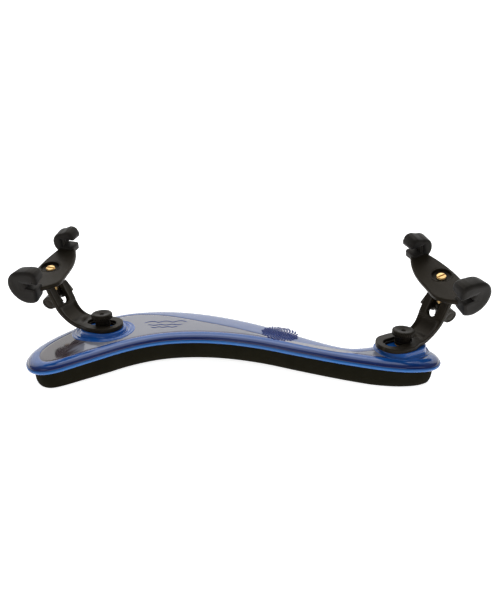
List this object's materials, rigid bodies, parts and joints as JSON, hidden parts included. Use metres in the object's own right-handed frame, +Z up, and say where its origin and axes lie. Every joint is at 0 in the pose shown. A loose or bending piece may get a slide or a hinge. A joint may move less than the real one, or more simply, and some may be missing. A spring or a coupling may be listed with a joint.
{
  "type": "violin shoulder rest",
  "caption": "Curved see-through plastic bar with a foam pad below and swivelling, height-adjustable forks in rubber boots that grip the edge of a violin.",
  "frame": {"origin": "under the middle of the whole rest, on the plane the foam pad stands on", "axes": "+X along the rest towards its narrow end, +Y towards the violin's tailpiece side, away from the chest, +Z up from the foam to the forks"},
  "size_m": [0.249, 0.0796, 0.0743],
  "materials": {
    "blue_plastic": "see-through blue plastic, polished",
    "foam": "closed-cell foam, dull",
    "nylon": "moulded black nylon, satin",
    "brass": "machined, slightly tarnished",
    "steel": "machined",
    "rubber": "moulded rubber, satin"
  },
  "bodies": {
    "base": {"body_shell": "blue_plastic", "foam_pad": "foam", "left_insert": "brass", "right_insert": "brass"},
    "left_stud": {"left_stud": "steel"},
    "left_knob": {"left_knob": "nylon"},
    "left_washer": {"left_washer": "nylon"},
    "left_leg": {"left_leg": "nylon"},
    "left_slider": {"left_slider": "nylon"},
    "left_cross_nut": {"left_cross_nut": "nylon"},
    "left_rod": {"left_rod": "brass"},
    "left_fork": {"left_fork": "nylon", "left_front_boot": "rubber", "left_rear_boot": "rubber"},
    "right_stud": {"right_stud": "steel"},
    "right_knob": {"right_knob": "nylon"},
    "right_washer": {"right_washer": "nylon"},
    "right_leg": {"right_leg": "nylon"},
    "right_slider": {"right_slider": "nylon"},
    "right_cross_nut": {"right_cross_nut": "nylon"},
    "right_rod": {"right_rod": "brass"},
    "right_fork": {"right_fork": "nylon", "right_front_boot": "rubber", "right_rear_boot": "rubber"}
  },
  "joints": [
    {"name": "left_knob_lift", "type": "slide", "parent": "base", "child": "left_stud", "axis": [0, 0, 1], "range_m": [0, 0.0012]},
    {"name": "left_knob_turn", "type": "hinge", "parent": "left_stud", "child": "left_knob", "pos_m": [-0.08174, 0.00506, 0.019], "axis": [0, 0, 1], "range_deg": [0, 541]},
    {"name": "left_leg_swivel", "type": "hinge", "parent": "base", "child": "left_washer", "pos_m": [-0.08174, 0.00506, 0.019], "axis": [0, 0, 1], "range_deg": [-25, 25]},
    {"name": "left_leg_slide", "type": "slide", "parent": "left_washer", "child": "left_leg", "axis": [-0.9455, 0.3256, 0], "range_m": [-0.0048, 0.0038]},
    {"name": "left_block_slide", "type": "slide", "parent": "left_leg", "child": "left_slider", "axis": [-0.3846, 0.1324, 0.9135], "range_m": [-0.0025, 0.0025]},
    {"name": "left_fork_tilt", "type": "hinge", "parent": "left_slider", "child": "left_cross_nut", "pos_m": [-0.11208, 0.01863, 0.03372], "axis": [0.207, 0.9454, 0.2518], "range_deg": [-15, 8]},
    {"name": "left_fork_lift", "type": "slide", "parent": "left_cross_nut", "child": "left_rod", "axis": [0.0511, -0.2675, 0.9622], "range_m": [-0.0015, 0.0035]},
    {"name": "left_fork_turn", "type": "hinge", "parent": "left_rod", "child": "left_fork", "pos_m": [-0.11103, 0.01315, 0.05345], "axis": [0.0511, -0.2675, 0.9622], "range_deg": [-541, 1261]},
    {"name": "right_knob_lift", "type": "slide", "parent": "base", "child": "right_stud", "axis": [0, 0, 1], "range_m": [0, 0.0012]},
    {"name": "right_knob_turn", "type": "hinge", "parent": "right_stud", "child": "right_knob", "pos_m": [0.08876, -0.01794, 0.019], "axis": [0, 0, 1], "range_deg": [0, 541]},
    {"name": "right_leg_swivel", "type": "hinge", "parent": "base", "child": "right_washer", "pos_m": [0.08876, -0.01794, 0.019], "axis": [0, 0, 1], "range_deg": [-25, 25]},
    {"name": "right_leg_slide", "type": "slide", "parent": "right_washer", "child": "right_leg", "axis": [0.866, 0.5, 0], "range_m": [-0.0008, 0.0078]},
    {"name": "right_block_slide", "type": "slide", "parent": "right_leg", "child": "right_slider", "axis": [0.3522, 0.2034, 0.9135], "range_m": [-0.0025, 0.0025]},
    {"name": "right_fork_tilt", "type": "hinge", "parent": "right_slider", "child": "right_cross_nut", "pos_m": [0.11304, -0.00179, 0.03372], "axis": [0.3835, -0.8885, -0.2518], "range_deg": [-15, 8]},
    {"name": "right_fork_lift", "type": "slide", "parent": "right_cross_nut", "child": "right_rod", "axis": [-0.2069, -0.3484, 0.9142], "range_m": [-0.0015, 0.0035]},
    {"name": "right_fork_turn", "type": "hinge", "parent": "right_rod", "child": "right_fork", "pos_m": [0.10798, -0.01033, 0.05612], "axis": [-0.2069, -0.3484, 0.9142], "range_deg": [-541, 1261]}
  ],
  "couplings": [
    {"joint": "left_knob_turn", "follows": "left_knob_lift", "rad_per_m": 7854},
    {"joint": "left_fork_turn", "follows": "left_fork_lift", "rad_per_m": 6283.2},
    {"joint": "right_knob_turn", "follows": "right_knob_lift", "rad_per_m": 7854},
    {"joint": "right_fork_turn", "follows": "right_fork_lift", "rad_per_m": 6283.2}
  ]
}
